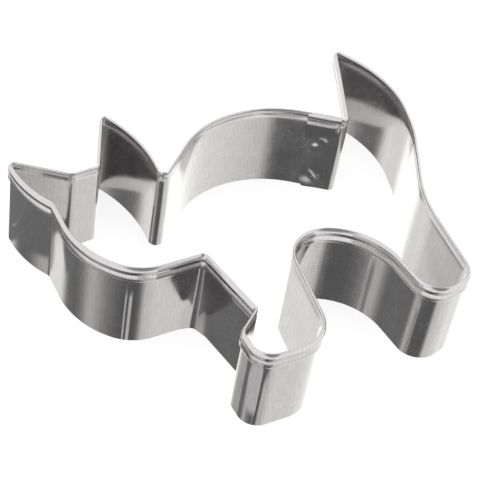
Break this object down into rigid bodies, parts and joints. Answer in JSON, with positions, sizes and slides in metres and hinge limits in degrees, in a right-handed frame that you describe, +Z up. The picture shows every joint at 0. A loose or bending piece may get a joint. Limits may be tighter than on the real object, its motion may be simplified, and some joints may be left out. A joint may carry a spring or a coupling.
{
  "type": "cookie cutter",
  "caption": "Cat-shaped steel cookie cutter: one bent strip with a rolled rim on top, a plain cutting edge below and a spot-welded lap at the tail.",
  "frame": {"origin": "middle of the bounding box, on the plane that the cutting edge stands on", "axes": "+X from the cat's face towards its tail, +Y from its paws towards its ears, +Z up from the cutting edge to the rolled rim"},
  "size_m": [0.0914, 0.075, 0.02],
  "materials": {
    "strip_steel": "bright rolled stainless strip, finely brushed and reflective",
    "weld_metal": "dull dished electrode marks"
  },
  "bodies": {
    "root": {"lapped_back": "strip_steel", "back_arch": "strip_steel", "neck": "strip_steel", "right_ear_back": "strip_steel", "right_ear_front": "strip_steel", "forehead": "strip_steel", "left_ear_inner": "strip_steel", "left_ear_tip": "strip_steel", "left_ear_outer": "strip_steel", "temple": "strip_steel", "cheek": "strip_steel", "jaw": "strip_steel", "chest": "strip_steel", "elbow": "strip_steel", "wrist": "strip_steel", "front_toes": "strip_steel", "front_heel": "strip_steel", "belly_front": "strip_steel", "belly_rear": "strip_steel", "hind_toes": "strip_steel", "hind_heel": "strip_steel", "hock": "strip_steel", "rump": "strip_steel", "tail_outer": "strip_steel", "tail_inner": "strip_steel", "lap_end": "strip_steel", "spot_welds": "weld_metal"}
  },
  "joints": []
}
